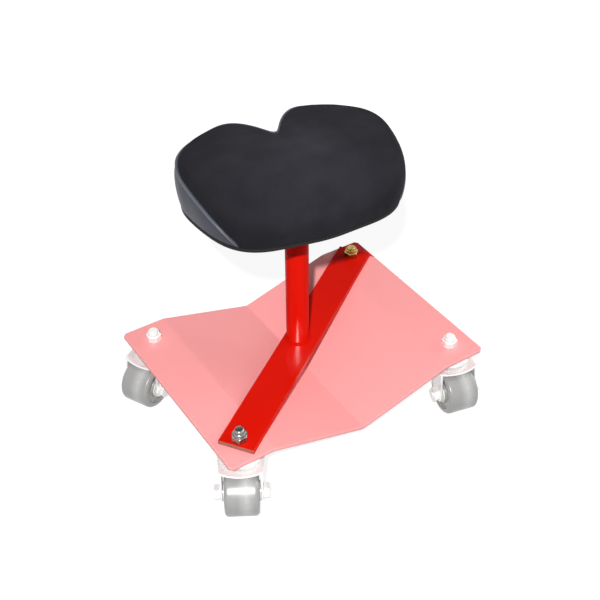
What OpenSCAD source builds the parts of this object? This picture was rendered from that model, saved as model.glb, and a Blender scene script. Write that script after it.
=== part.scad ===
// Rolling creeper seat: a two-lobed cushion on a swivelling spindle, in a post that is
// welded to a flat bar. The caster stems clamp the bar across a V-bent steel dolly plate.
// Millimetres. The origin is on the floor under the middle of the plate. X runs along the
// plate's long side, Y along its short side, and the rider faces -Y.

/* [Dolly plate] */
// Length of the plate from end to end
plate_l = 406; // [380:1:440]
// Width of the plate
plate_w = 305; // [290:1:340]
// Thickness of the plate's steel
plate_t = 4.8; // [4:0.1:6]
// Length of the flat pad at each end, from the plate's end to its bend
pad_l = 65; // [60:1:72]
// Depth of the V below the pads
trough_depth = 39; // [30:1:42]
// How much the plate's four corners are cut off
corner_cut = 4.5; // [2:0.5:8]
// Distance of each caster stem from both of the plate's edges
stem_inset = 33.4; // [31:0.2:36]

/* [Bar and post] */
// Distance from each of the two stems to the bar's end
bar_end = 14.8; // [13:0.1:25]
// Width of the diagonal bar
bar_w = 50; // [44:1:60]
// Thickness of the diagonal bar
bar_t = 6; // [5:0.5:8]
// Outer diameter of the post
post_d = 31.8; // [28:0.2:36]
// Wall of the post's tube
post_wall = 2.5; // [2:0.1:3]
// Length of the post's tube
post_l = 222.7; // [180:0.1:280]
// Leg of the weld round the post's foot
weld_leg = 2.5; // [2:0.5:3.5]
// How far the post's axis stands to the left of the plate's middle
post_left = 1.8; // [0:0.1:3]
// How far the post's axis stands behind the plate's middle
post_back = 5.4; // [0:0.1:6]

/* [Casters] */
// Height from the floor to the underside of the plate's pads
caster_h = 87.2; // [85:0.1:95]
// Distance from the swivel axis to the axle
caster_trail = 28; // [26:0.5:32]
// Headings of the axles of the front left, front right, back left and back right casters
caster_headings = [-30.5, -12.5, -63.5, 12]; // [-180:0.1:180]
// Diameter of the caster stems and of the axle bolts
bolt_d = 12.7; // [10:0.1:13]
// Size across the flats of the nuts and bolt heads
hex_af = 19; // [17:0.5:20]
// Diameter of the wheels
wheel_d = 63.5; // [58:0.5:66]
// Width of the wheels
wheel_w = 44.5; // [36:0.5:45]
// Width of the wheel's flat tread
tread_w = 38.5; // [28:0.5:39]
// Width of the fork over its legs
fork_w = 55; // [53:0.5:58]
// Thickness of the fork's steel
fork_t = 3; // [2.5:0.1:3.2]
// Diameter of the fork's round crown over the stem
crown_d = 62; // [58:1:66]
// Furthest reach of the crown in front of the stem
crown_reach = 41; // [38:0.5:44]
// Distance from the underside of the plate to the top of the fork's crown
crown_drop = 14.7; // [14:0.1:16]
// Diameter of the bearing balls
ball_d = 6.35; // [5.5:0.05:6.5]
// Number of balls in each swivel bearing
ball_count = 16; // [8:1:16]

/* [Seat] */
// Width of the cushion
seat_w = 288; // [260:1:330]
// Reach of the cushion's outline in front of its middle
seat_front = 112; // [95:1:125]
// Reach of the cushion's full outline behind its middle
seat_back = 118; // [105:1:140]
// Distance of the cushion's middle behind the post's axis
seat_shift = 10.6; // [0:0.1:25]
// Height of the seat from the underside of its pan to the edge of its top
seat_h = 68; // [60:1:85]
// How far the middle of the cushion is crowned above its edge
seat_crown = 4; // [2:0.5:10]
// How far the front edge falls below the top
front_fall = 12; // [3:0.1:18]
// How far the side edges rise above the level of the edge at the back
side_rise = 1.8; // [0:0.1:6]
// How far the sides are drawn in at the bottom
side_tuck = 5; // [3:0.5:12]
// Thickness of the cover
cover_t = 2; // [1.5:0.1:3]
// Thickness of the pan's board above its rim
pan_t = 8; // [7:0.5:12]
// Height of the pan's bare rim below the cover
pan_rim_h = 4.5; // [3:0.5:6]
// Clockwise turn of the seat on its post, seen from above
seat_heading = 7.4; // [-180:0.1:180]

/* [Swivel] */
// Diameter of the seat's spindle
spindle_d = 19; // [16:0.1:20]
// Length of the spindle below the seat plate
spindle_l = 135; // [100:1:160]
// Length of each bush in the post
bush_l = 30; // [20:1:40]
// Thickness of the seat plate
seat_plate_t = 4; // [3:0.1:6]
// Length of the seat plate along the seat's width
seat_plate_l = 150; // [130:1:170]
// Width of the seat plate from front to back
seat_plate_w = 100; // [90:1:120]
// Thread diameter of the small screws
screw_d = 6; // [5:0.5:6]

/* [Hidden] */
CORNERS = ["front_left", "front_right", "back_left", "back_right"];
CORNER_SIDES = [[-1, -1], [1, -1], [-1, 1], [1, 1]];
CASTER_PARTS = ["stem_bolt", "upper_race", "balls", "fork", "axle_bolt", "axle_nut", "axle_sleeve",
    "wheel_bushes", "wheel"];

$fn = 48;
// Overrun of cuts past the faces they open
cut = 1;

// Fits: radial clearance of running pairs, of pressed pairs and of bolts in plain holes
run_fit = 0.08;
press_fit = 0.02;
bolt_fit = 0.4;
// Gap between flat faces that turn on each other, round soft pieces, and inside the cover
face_gap = 0.1;
soft_gap = 0.3;
foam_gap = 0.8;

// Plate and stems
slope_run = plate_l / 2 - pad_l;
slope_angle = atan(trough_depth / slope_run);
pad_z = caster_h + plate_t;
stem_x = plate_l / 2 - stem_inset;
stem_y = plate_w / 2 - stem_inset;
stem_r = bolt_d / 2;
bar_angle = atan2(stem_y, stem_x);
stem_reach = norm([stem_x, stem_y]);
bar_l = 2 * (stem_reach + bar_end);
bar_shift = 2.4;
bar_top = pad_z + bar_t;
// The bar crosses from the front left stem to the back right one
BAR_HOLDS = [true, false, false, true];

// Nuts and bolt heads
hex_r = hex_af / 2 / cos(30);
lock_nut_h = 9.5;
lock_collar_h = 4.5;
lock_collar_r = 8.3;
lock_collar_round = 1.2;
hex_bevel = 1.1;
stem_stands = [5, 3, 3, 3];
stem_bevel = 1;
king_head_h = 6.5;
king_washer_t = 1.2;
king_washer_r = 13;

// Swivel bearing
race_t = 2.5;
race_r = 29;
race_flat_r = 23;
race_shoulder_h = 1.5;
race_skirt_h = 9;
ball_track_r = 18.2;
dome_h = crown_drop - race_t - ball_d - face_gap;
dome_outer_r = 24;
dome_inner_r = 12.5;
dome_slope = 2.5;
crown_z = caster_h - crown_drop;
crown_r = crown_d / 2;
crown_front_r = 59;
leg_front_y = -34;
leg_back_y = 6;
leg_boss_r = 12;
king_washer_z = crown_z - fork_t - face_gap - king_washer_t;

// Wheel and axle
wheel_r = wheel_d / 2;
tread_bevel = 3.2;
hub_r = 15;
rim_inner_r = 24;
web_recess = 3;
wheel_bush_r = 11;
wheel_bush_l = 20;
wheel_flange_r = 13.5;
wheel_flange_t = 1.5;
sleeve_r = 8;
axle_head_h = 8;
axle_nut_h = 8;
axle_end = 0.8;

// Post, bushes and spindle
post_r = post_d / 2;
bore_r = post_r - post_wall;
bush_flange_t = 2.5;
washer_t = 2;
washer_r = 20;
spindle_r = spindle_d / 2;
post_top = bar_top + post_l;
bush_top = post_top + bush_flange_t;
washer_z = bush_top + face_gap;
seat_plate_z = washer_z + washer_t;
seat_z = seat_plate_z + seat_plate_t;
groove_drop = 17;
groove_h = 8;
groove_depth = 1.5;
spindle_bevel = 1.5;
keeper_head_h = 4;
keeper_head_af = 10;
lower_bush_lift = 5;

// Seat plate, screws and pan
plate_corner_r = 12;
screw_r = screw_d / 2;
screw_inset = 18;
screw_head_r = 5.5;
screw_head_h = 3.5;
screw_l = 10;
tee_barrel_r = 4;
tee_flange_r = 9;
tee_flange_t = 1.5;
pan_top = seat_z + pan_rim_h + pan_t;

// Cushion outline and section
front_power = 2.39;
back_power = 2.25;
WAVE_SHARES = [0.008, 0.006, 0.024, 0.013, -0.006, 0.005];
notch_share = 0.535;
notch_angle = 18.8;
notch_power = 2.43;
side_round = 12.2;
front_round = 18.8;
side_round_h = 27.1;
front_round_h = 26.6;
seam_share = 1.45;
seam_slope_share = 0.45;
seam_front_angle = 52;
seam_turn_angle = 106;
seam_rise = 0.33;
seam_rise_angle = 36;
panel_end_angle = 0.3;
seam_gap_share = 0.02;
outline_points = 60;
outline_crowding = 1.2;
panel_rows = 4;
TOP_SHARES = [0.4, 0.75, 1];
EDGE_SHARES = [0.2, 0.4, 0.6, 0.8, 1];
edge_z = seat_z + pan_rim_h + soft_gap;
top_z = seat_z + seat_h;

// Places
module at_caster(i) {
    translate([CORNER_SIDES[i].x * stem_x, CORNER_SIDES[i].y * stem_y, 0])
        rotate([0, 0, caster_headings[i]]) children();
}

module at_axle() {
    translate([0, -caster_trail, wheel_r]) rotate([0, 90, 0]) children();
}

module at_post() {
    translate([-post_left, post_back, 0]) children();
}

module on_seat() {
    at_post() rotate([0, 0, -seat_heading]) children();
}

module at_seat_screws() {
    for (sx = [-1, 1], sy = [-1, 1])
        translate([sx * (seat_plate_l / 2 - screw_inset), sy * (seat_plate_w / 2 - screw_inset), 0])
            children();
}

// Height of the face that a caster's lock nut sits on
function nut_seat(i) = BAR_HOLDS[i] ? bar_top : pad_z;

// Shared shapes
module tube(outer, inner, h) {
    difference() {
        cylinder(r = outer, h = h);
        translate([0, 0, -cut]) cylinder(r = inner, h = h + 2 * cut);
    }
}

module rounded_rect(l, w, r) {
    square([l - 2 * r, w], center = true);
    square([l, w - 2 * r], center = true);
    for (sx = [-1, 1], sy = [-1, 1]) translate([sx * (l / 2 - r), sy * (w / 2 - r)]) circle(r = r);
}

// A hexagon with its upper corners bevelled by a cone
module bevelled_hex(h) {
    intersection() {
        cylinder(r = hex_r, h = h, $fn = 6);
        union() {
            cylinder(r = hex_r + cut, h = h - hex_bevel);
            translate([0, 0, h - hex_bevel])
                cylinder(r1 = hex_r, r2 = hex_r - 2 * hex_bevel, h = hex_bevel);
        }
    }
}

// A hexagon nut with the round collar that holds its nylon ring
module lock_nut() {
    difference() {
        union() {
            bevelled_hex(lock_nut_h);
            cylinder(r = lock_collar_r, h = lock_nut_h + lock_collar_h - lock_collar_round);
            translate([0, 0, lock_nut_h + lock_collar_h - lock_collar_round])
                cylinder(r1 = lock_collar_r, r2 = lock_collar_r - lock_collar_round,
                    h = lock_collar_round);
        }
        translate([0, 0, -cut])
            cylinder(r = stem_r + press_fit, h = lock_nut_h + lock_collar_h + 2 * cut);
    }
}

// Dolly
function plate_section() = let (
        fold = plate_t * tan(slope_angle / 2),
        low = pad_z - trough_depth)
    [[-plate_l / 2, pad_z], [-slope_run, pad_z], [0, low], [slope_run, pad_z],
     [plate_l / 2, pad_z], [plate_l / 2, caster_h], [slope_run + fold, caster_h],
     [0, low - plate_t / cos(slope_angle)], [-slope_run - fold, caster_h],
     [-plate_l / 2, caster_h]];

function plate_plan() = let (x = plate_l / 2, y = plate_w / 2, c = corner_cut)
    [[-x + c, -y], [x - c, -y], [x, -y + c], [x, y - c], [x - c, y], [-x + c, y], [-x, y - c],
     [-x, -y + c]];

// One sheet bent into a shallow V between two flat pads
module dolly_plate() {
    color([1, 0.66, 0.66]) difference() {
        intersection() {
            translate([0, plate_w / 2, 0]) rotate([90, 0, 0])
                linear_extrude(height = plate_w) polygon(plate_section());
            linear_extrude(height = pad_z + cut) polygon(plate_plan());
        }
        for (side = CORNER_SIDES) translate([side.x * stem_x, side.y * stem_y, caster_h - cut])
            cylinder(r = stem_r + bolt_fit, h = plate_t + 2 * cut);
    }
}

// Flat bar across the V, held by two of the caster stems
module diagonal_bar() {
    color([0.87, 0.1, 0.05]) rotate([0, 0, bar_angle]) difference() {
        translate([bar_shift - bar_l / 2, -bar_w / 2, pad_z]) cube([bar_l, bar_w, bar_t]);
        for (side = [-1, 1]) translate([side * stem_reach, 0, pad_z - cut])
            cylinder(r = stem_r + bolt_fit, h = bar_t + 2 * cut);
    }
}

// Post
module seat_post() {
    color([0.9, 0.14, 0.1]) at_post() difference() {
        translate([0, 0, bar_top]) tube(post_r, bore_r, post_l);
        translate([0, 0, seat_plate_z - groove_drop]) rotate([-90, 0, 0])
            cylinder(r = screw_r + press_fit, h = post_d);
    }
}

module post_weld() {
    color([0.85, 0.1, 0.06]) at_post() translate([0, 0, bar_top]) rotate_extrude()
        intersection() {
            translate([post_r, 0]) circle(r = weld_leg);
            translate([post_r, 0]) square(weld_leg);
        }
}

module upper_post_bush() {
    color("ivory") at_post() difference() {
        union() {
            translate([0, 0, post_top - bush_l]) cylinder(r = bore_r - press_fit, h = bush_l);
            translate([0, 0, post_top]) cylinder(r = post_r, h = bush_flange_t);
        }
        translate([0, 0, post_top - bush_l - cut])
            cylinder(r = spindle_r + run_fit, h = bush_l + bush_flange_t + 2 * cut);
        translate([0, 0, seat_plate_z - groove_drop]) rotate([-90, 0, 0])
            cylinder(r = screw_r + press_fit, h = post_d);
    }
}

module lower_post_bush() {
    color("ivory") at_post() translate([0, 0, seat_plate_z - spindle_l + lower_bush_lift])
        tube(bore_r - press_fit, spindle_r + run_fit, bush_l);
}

// Short screw through the post's wall and bush, with its tip in the spindle's groove
module spindle_keeper_screw() {
    tip_y = spindle_r - groove_depth + soft_gap;
    color("dimgray") at_post() translate([0, 0, seat_plate_z - groove_drop]) rotate([-90, 0, 0]) {
        translate([0, 0, tip_y]) cylinder(r = screw_r, h = post_r - tip_y);
        translate([0, 0, post_r])
            cylinder(r = keeper_head_af / 2 / cos(30), h = keeper_head_h, $fn = 6);
    }
}

// Seat swivel
module seat_spindle() {
    color("silver") at_post() difference() {
        union() {
            translate([0, 0, seat_plate_z - spindle_l + spindle_bevel])
                cylinder(r = spindle_r, h = spindle_l - spindle_bevel + seat_plate_t);
            translate([0, 0, seat_plate_z - spindle_l])
                cylinder(r1 = spindle_r - spindle_bevel, r2 = spindle_r, h = spindle_bevel);
        }
        translate([0, 0, seat_plate_z - groove_drop - groove_h / 2])
            tube(spindle_r + cut, spindle_r - groove_depth, groove_h);
    }
}

module thrust_washer() {
    color("ivory") at_post() translate([0, 0, washer_z])
        tube(washer_r, spindle_r + run_fit, washer_t);
}

module seat_plate() {
    color("dimgray") on_seat() translate([0, 0, seat_plate_z]) difference() {
        linear_extrude(height = seat_plate_t)
            rounded_rect(seat_plate_l, seat_plate_w, plate_corner_r);
        translate([0, 0, -cut]) {
            cylinder(r = spindle_r + press_fit, h = seat_plate_t + 2 * cut);
            at_seat_screws() cylinder(r = screw_r + bolt_fit, h = seat_plate_t + 2 * cut);
        }
    }
}

module seat_plate_screws() {
    color("silver") on_seat() at_seat_screws() {
        translate([0, 0, seat_plate_z - screw_head_h]) cylinder(r = screw_head_r, h = screw_head_h);
        translate([0, 0, seat_plate_z]) cylinder(r = screw_r, h = seat_plate_t + screw_l);
    }
}

module seat_tee_nuts() {
    barrel_h = pan_top - seat_z - tee_flange_t;
    color("silver") on_seat() at_seat_screws() translate([0, 0, seat_z]) difference() {
        union() {
            cylinder(r = tee_barrel_r, h = barrel_h);
            translate([0, 0, barrel_h]) cylinder(r = tee_flange_r, h = tee_flange_t);
        }
        translate([0, 0, -cut])
            cylinder(r = screw_r + press_fit, h = barrel_h + tee_flange_t + 2 * cut);
    }
}

// Cushion outline by its heading from +X: a superellipse that is drawn into lobes by small
// waves, with a soft notch at the back
function outline_r(heading) = let (
        back = sin(heading) > 0,
        power = back ? back_power : front_power,
        full = pow(pow(abs(cos(heading)) / (seat_w / 2), power)
            + pow(abs(sin(heading)) / (back ? seat_back : seat_front), power), -1 / power),
        off_back = abs(heading - 90),
        waves = WAVE_SHARES * [for (i = [3:8]) cos(i * off_back)])
    full * (1 + waves) * (1 - notch_share * exp(-pow(off_back / notch_angle, notch_power)));

// Headings round the outline, -90 to 270, closest together at the notch
function outline_heading(i) = let (u = 2 * i / outline_points - 1)
    90 + 180 * sign(u) * pow(abs(u), outline_crowding);

// Values between the front and the sides, by heading. The back has the sides' value.
function blend_side(side_value, front_value, heading) =
    side_value + (front_value - side_value) * pow(max(0, -sin(heading)), 2);

// Height of the cushion's top, where it runs level, at a place in its outline
function cover_top(x, y, share) = top_z + seat_crown * (1 - share * share)
    + side_rise * pow(2 * x / seat_w, 2) - front_fall * pow(max(0, -y) / seat_front, 2);

// A point on the cushion: step 0 to 1 crosses the top, 1 to 2 rounds the edge, 2 to 3 goes
// down the side. Inset is the depth below the cover's outer face.
function cushion_point(heading, step, inset, low_z) = let (
        rim = outline_r(heading) - inset,
        round_in = blend_side(side_round, front_round, heading),
        round_down = blend_side(side_round_h, front_round_h, heading),
        turn = 90 * min(1, max(0, step - 1)),
        down = max(0, step - 2),
        level_r = (rim - round_in) * min(1, step),
        r = step <= 1 ? level_r : rim - round_in * (1 - sin(turn)) - side_tuck * down * down,
        x = r * cos(heading),
        y = r * sin(heading),
        level_z = cover_top(x, y, min(1, step)) - inset,
        belt_z = level_z - round_down,
        z = step <= 2 ? level_z - round_down * (1 - cos(turn)) : belt_z + (low_z - belt_z) * down)
    [x, y + seat_shift, z];

// The seam's step: highest beside the notch, slowly lower along the sides, and diving to the
// lower edge beside the front
function seam_step(heading) = let (
        off_back = abs(heading - 90),
        off_front = 180 - off_back,
        share = (seam_turn_angle - off_front) / (seam_turn_angle - seam_front_angle),
        way = min(1, max(0, share)))
    seam_share - seam_rise * exp(-pow(off_back / seam_rise_angle, 4))
        + (3 - seam_share) * (seam_slope_share * way + (1 - seam_slope_share) * pow(way, 6));

// Faces between two rings of n points, and between a centre point and a ring. Up is true
// where the faces look up and outward, and false where they look down and inward.
function ring_faces(n, from, to, up) = [for (i = [0:n - 1]) let (j = (i + 1) % n)
    each up
        ? [[from + i, from + j, to + j], [from + i, to + j, to + i]]
        : [[from + i, to + j, from + j], [from + i, to + i, to + j]]];

function fan_faces(n, centre, first, up) = [for (i = [0:n - 1]) let (j = (i + 1) % n)
    up ? [centre, first + j, first + i] : [centre, first + i, first + j]];

// A skin between two stacks of rings, open below and closed by a centre point on top
module two_skin_cap(outer_rings, inner_rings, outer_centre, inner_centre) {
    n = len(outer_rings[0]);
    rings = len(outer_rings);
    half = n * rings;
    points = concat([for (ring = outer_rings) each ring], [for (ring = inner_rings) each ring],
        [outer_centre, inner_centre]);
    faces = concat(
        fan_faces(n, 2 * half, 0, true),
        [for (k = [0:rings - 2]) each ring_faces(n, n * k, n * (k + 1), true)],
        ring_faces(n, half - n, 2 * half - n, true),
        fan_faces(n, 2 * half + 1, half, false),
        [for (k = [0:rings - 2]) each ring_faces(n, half + n * k, half + n * (k + 1), false)]);
    polyhedron(points = points, faces = faces);
}

// A solid stack of rings with a centre point above and one below
module capped_stack(rings, top_centre, low_centre) {
    n = len(rings[0]);
    count = len(rings);
    polyhedron(
        points = concat([for (ring = rings) each ring], [top_centre, low_centre]),
        faces = concat(
            fan_faces(n, n * count, 0, true),
            [for (k = [0:count - 2]) each ring_faces(n, n * k, n * (k + 1), true)],
            fan_faces(n, n * count + 1, n * (count - 1), false)));
}

function outline_ring(step_of, inset, low_z) = [for (i = [0:outline_points - 1])
    let (heading = outline_heading(i)) cushion_point(heading, step_of(heading), inset, low_z)];

// Rings from the middle of the top to the seam
function cover_rings(inset, low_z) = concat(
    [for (share = TOP_SHARES) outline_ring(function (heading) share, inset, low_z)],
    [for (share = EDGE_SHARES)
        outline_ring(function (heading) 1 + (seam_step(heading) - 1) * share, inset, low_z)]);

function cushion_centre(inset) = [0, seat_shift, cover_top(0, 0, 0) - inset];

// Seat
module pan_outline(inset) {
    polygon([for (i = [0:outline_points - 1])
        let (heading = outline_heading(i), r = outline_r(heading) - side_tuck - inset)
        [r * cos(heading), r * sin(heading) + seat_shift]]);
}

// Moulded board: a bare rim as wide as the cushion, and a plug inside the cover
module seat_pan() {
    color([0.16, 0.16, 0.17]) on_seat() difference() {
        union() {
            translate([0, 0, seat_z]) linear_extrude(height = pan_rim_h) pan_outline(0);
            translate([0, 0, seat_z]) linear_extrude(height = pan_rim_h + pan_t)
                pan_outline(cover_t + 2 * soft_gap);
        }
        at_seat_screws() {
            translate([0, 0, seat_z - cut])
                cylinder(r = tee_barrel_r + press_fit, h = pan_top - seat_z + 2 * cut);
            translate([0, 0, pan_top - tee_flange_t])
                cylinder(r = tee_flange_r + bolt_fit, h = tee_flange_t + cut);
        }
    }
}

module seat_foam() {
    inset = cover_t + foam_gap;
    low = pan_top + soft_gap;
    rings = concat(cover_rings(inset, low), [for (k = [1:panel_rows])
        outline_ring(function (heading) let (seam = seam_step(heading))
            seam + (3 - seam) * k / panel_rows, inset, low)]);
    color([0.85, 0.8, 0.6]) on_seat()
        capped_stack(rings, cushion_centre(inset), [0, seat_shift, low]);
}

// Top panel: it runs down over the front edge with no seam, and ends at the seam elsewhere
module seat_top_panel() {
    color([0.23, 0.23, 0.26]) on_seat()
        two_skin_cap(cover_rings(0, edge_z), cover_rings(cover_t, edge_z), cushion_centre(0),
            cushion_centre(cover_t));
}

// Side panel from the notch round to the front, below the seam. Side is -1 or 1 along X.
module side_panel(side) {
    last = 180 - seam_front_angle - panel_end_angle;
    turns = [for (i = [outline_points / 2 + 1:outline_points - 1])
        let (turn = outline_heading(i) - 90) if (turn < last - panel_end_angle) turn];
    headings = [for (turn = concat([panel_end_angle], turns, [last])) 90 - side * turn];
    function panel_skin(inset) = [for (heading = headings) let (
            start = min(3 - 2 * seam_gap_share, seam_step(heading) + seam_gap_share))
        [for (k = [0:panel_rows])
            cushion_point(heading, start + (3 - start) * k / panel_rows, inset, edge_z)]];
    columns = len(headings);
    rows = panel_rows + 1;
    size = columns * rows;
    loop = concat([for (k = [0:rows - 1]) k], [for (i = [1:columns - 1]) i * rows + rows - 1],
        [for (k = [rows - 2:-1:0]) (columns - 1) * rows + k], [for (i = [columns - 2:-1:1]) i * rows]);
    m = len(loop);
    flip = side > 0;
    function facing(face) = flip ? [face[2], face[1], face[0]] : face;
    quads = [for (i = [0:columns - 2]) for (k = [0:rows - 2]) let (a = i * rows + k)
        each [[a, a + 1, a + rows + 1], [a, a + rows + 1, a + rows]]];
    faces = concat(
        [for (f = quads) facing([f[2], f[1], f[0]])],
        [for (f = quads) facing([f[0] + size, f[1] + size, f[2] + size])],
        [for (q = [0:m - 1]) let (a = loop[q], b = loop[(q + 1) % m])
            each [facing([a, b, b + size]), facing([a, b + size, a + size])]]);
    polyhedron(points = concat([for (column = panel_skin(0)) each column],
        [for (column = panel_skin(cover_t)) each column]), faces = faces);
}

module seat_side_panel_left() {
    color([0.35, 0.35, 0.4]) on_seat() side_panel(-1);
}

module seat_side_panel_right() {
    color([0.35, 0.35, 0.4]) on_seat() side_panel(1);
}

// Casters: each module is drawn about one stem, with the wheel behind it along -Y
module stem_bolt(i) {
    head_z = king_washer_z - king_head_h;
    tip_z = nut_seat(i) + lock_nut_h + lock_collar_h + stem_stands[i];
    color("silver") {
        translate([0, 0, head_z]) cylinder(r = hex_r, h = king_head_h, $fn = 6);
        translate([0, 0, king_washer_z])
            cylinder(r = stem_r, h = tip_z - stem_bevel - king_washer_z);
        translate([0, 0, tip_z - stem_bevel])
            cylinder(r1 = stem_r, r2 = stem_r - stem_bevel, h = stem_bevel);
    }
}

module king_washers() {
    color("silver") for (i = [0:3]) at_caster(i)
        translate([0, 0, king_washer_z]) tube(king_washer_r, stem_r + run_fit, king_washer_t);
}

// Pressed dish under the plate, with a skirt round the balls
module upper_race() {
    color("gainsboro") translate([0, 0, caster_h]) rotate_extrude() polygon([
        [stem_r + press_fit, 0], [race_flat_r, 0], [race_r, -race_shoulder_h],
        [race_r, -race_skirt_h], [race_r - race_t, -race_skirt_h],
        [race_r - race_t, -race_shoulder_h - race_t], [race_flat_r - race_t / 2, -race_t],
        [stem_r + press_fit, -race_t]]);
}

module balls() {
    color("silver") for (turn = [0:ball_count - 1]) rotate([0, 0, 360 * turn / ball_count])
        translate([ball_track_r, 0, caster_h - race_t - face_gap - ball_d / 2]) sphere(d = ball_d);
}

// Point where a line from p touches a circle, on the side given by 1 or -1
function touch_point(p, centre, r, side) = let (
        away = p - centre,
        angle = atan2(away.y, away.x) + side * acos(r / norm(away)))
    centre + r * [cos(angle), sin(angle)];

module fork_leg() {
    axle = [-caster_trail, wheel_r];
    front = [leg_front_y, crown_z - fork_t / 2];
    back = [leg_back_y, crown_z - fork_t / 2];
    rotate([90, 0, 90]) linear_extrude(height = fork_t) {
        translate(axle) circle(r = leg_boss_r);
        polygon([front, back, touch_point(back, axle, leg_boss_r, -1), axle,
            touch_point(front, axle, leg_boss_r, 1)]);
    }
}

// Round over the stem, straight-sided over the wheel, with a bowed front edge
module crown_plan() {
    intersection() {
        union() {
            circle(r = crown_r);
            polygon([[-crown_r, 0], [crown_r, 0], [fork_w / 2, -crown_reach],
                [-fork_w / 2, -crown_reach]]);
        }
        translate([0, crown_front_r - crown_reach]) circle(r = crown_front_r);
    }
}

// Raised ring in the crown that carries the balls
module ball_dome() {
    rotate_extrude() polygon([
        [dome_inner_r - dome_slope, 0], [dome_inner_r, dome_h], [dome_outer_r, dome_h],
        [dome_outer_r + dome_slope, 0], [dome_outer_r + dome_slope - fork_t / 2, -fork_t],
        [dome_outer_r - fork_t / 2, dome_h - fork_t], [dome_inner_r + fork_t / 2, dome_h - fork_t],
        [dome_inner_r - dome_slope + fork_t / 2, -fork_t]]);
}

module fork() {
    color("gainsboro") difference() {
        union() {
            translate([0, 0, crown_z]) {
                difference() {
                    translate([0, 0, -fork_t]) linear_extrude(height = fork_t) crown_plan();
                    translate([0, 0, -fork_t - cut]) tube(dome_outer_r, dome_inner_r, fork_t + 2 * cut);
                }
                ball_dome();
            }
            translate([fork_w / 2 - fork_t, 0, 0]) fork_leg();
            translate([-fork_w / 2, 0, 0]) fork_leg();
        }
        translate([0, 0, crown_z - fork_t - cut])
            cylinder(r = stem_r + run_fit, h = fork_t + 2 * cut);
        at_axle() translate([0, 0, -fork_w / 2 - cut])
            cylinder(r = stem_r + press_fit, h = fork_w + 2 * cut);
    }
}

module axle_bolt() {
    color("silver") at_axle() {
        translate([0, 0, -fork_w / 2 - axle_nut_h - axle_end])
            cylinder(r = stem_r, h = fork_w + axle_nut_h + axle_end);
        translate([0, 0, fork_w / 2]) bevelled_hex(axle_head_h);
    }
}

module axle_nut() {
    color("silver") at_axle() translate([0, 0, -fork_w / 2]) mirror([0, 0, 1]) difference() {
        bevelled_hex(axle_nut_h);
        translate([0, 0, -cut]) cylinder(r = stem_r + press_fit, h = axle_nut_h + 2 * cut);
    }
}

module axle_sleeve() {
    half = fork_w / 2 - fork_t;
    color("silver") at_axle() translate([0, 0, -half]) tube(sleeve_r, stem_r + press_fit, 2 * half);
}

module wheel_bushes() {
    color("ivory") at_axle() for (side = [0, 1]) mirror([0, 0, side])
        translate([0, 0, wheel_w / 2 - wheel_bush_l]) {
            tube(wheel_bush_r, sleeve_r + run_fit, wheel_bush_l);
            translate([0, 0, wheel_bush_l])
                tube(wheel_flange_r, sleeve_r + run_fit, wheel_flange_t);
        }
}

// Solid wheel with bevelled tread edges and dished sides
module wheel() {
    half = wheel_w / 2;
    bore = wheel_bush_r + press_fit;
    color([0.67, 0.67, 0.66]) at_axle() rotate_extrude($fn = 96) polygon([
        [bore, -half], [hub_r, -half], [hub_r, web_recess - half], [rim_inner_r, web_recess - half],
        [rim_inner_r, -half], [wheel_r - tread_bevel, -half], [wheel_r, -tread_w / 2],
        [wheel_r, tread_w / 2], [wheel_r - tread_bevel, half], [rim_inner_r, half],
        [rim_inner_r, half - web_recess], [hub_r, half - web_recess], [hub_r, half], [bore, half]]);
}

module plain_lock_nuts() {
    color("gainsboro") for (i = [0:2]) at_caster(i) translate([0, 0, nut_seat(i)]) lock_nut();
}

module yellow_lock_nut() {
    color([0.6, 0.5, 0.2]) at_caster(3) translate([0, 0, nut_seat(3)]) lock_nut();
}

dolly_plate();
diagonal_bar();
seat_post();
post_weld();
upper_post_bush();
lower_post_bush();
spindle_keeper_screw();
seat_spindle();
thrust_washer();
seat_plate();
seat_plate_screws();
seat_tee_nuts();
seat_pan();
seat_foam();
seat_top_panel();
seat_side_panel_left();
seat_side_panel_right();
king_washers();
plain_lock_nuts();
yellow_lock_nut();
for (i = [0:3]) {
    corner = CORNERS[i];
    at_caster(i) stem_bolt(i);
    at_caster(i) upper_race();
    at_caster(i) balls();
    at_caster(i) fork();
    at_caster(i) axle_bolt();
    at_caster(i) axle_nut();
    at_caster(i) axle_sleeve();
    at_caster(i) wheel_bushes();
    at_caster(i) wheel();
}
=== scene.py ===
import bmesh
import bpy
import numpy as np
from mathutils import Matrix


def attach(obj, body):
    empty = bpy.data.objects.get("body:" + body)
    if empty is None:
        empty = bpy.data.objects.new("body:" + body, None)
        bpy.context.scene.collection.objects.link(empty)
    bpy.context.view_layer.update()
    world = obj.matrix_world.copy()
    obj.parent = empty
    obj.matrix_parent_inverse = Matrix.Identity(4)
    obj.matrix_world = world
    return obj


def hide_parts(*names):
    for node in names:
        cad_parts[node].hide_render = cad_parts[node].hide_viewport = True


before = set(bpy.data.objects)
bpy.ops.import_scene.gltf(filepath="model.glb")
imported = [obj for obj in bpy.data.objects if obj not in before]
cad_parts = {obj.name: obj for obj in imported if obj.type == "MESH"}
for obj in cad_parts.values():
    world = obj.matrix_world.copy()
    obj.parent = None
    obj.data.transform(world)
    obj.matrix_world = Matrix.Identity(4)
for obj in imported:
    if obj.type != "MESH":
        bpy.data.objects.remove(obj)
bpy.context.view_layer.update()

# ---- Dolly plate -------------------------------------------------------------------------
# One sheet of 4.8 mm steel with its corners clipped. A press folds it into a shallow V
# between two flat pads, and it is enamelled after folding, so the paint runs over its edges.
# The corner past the bar's back end is as red as the bar.

mm = 0.001


def in_scene(name, data):
    """A new object with this data, linked to the scene."""
    thing = bpy.data.objects.new(name, data)
    bpy.context.scene.collection.objects.link(thing)
    return thing


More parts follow.
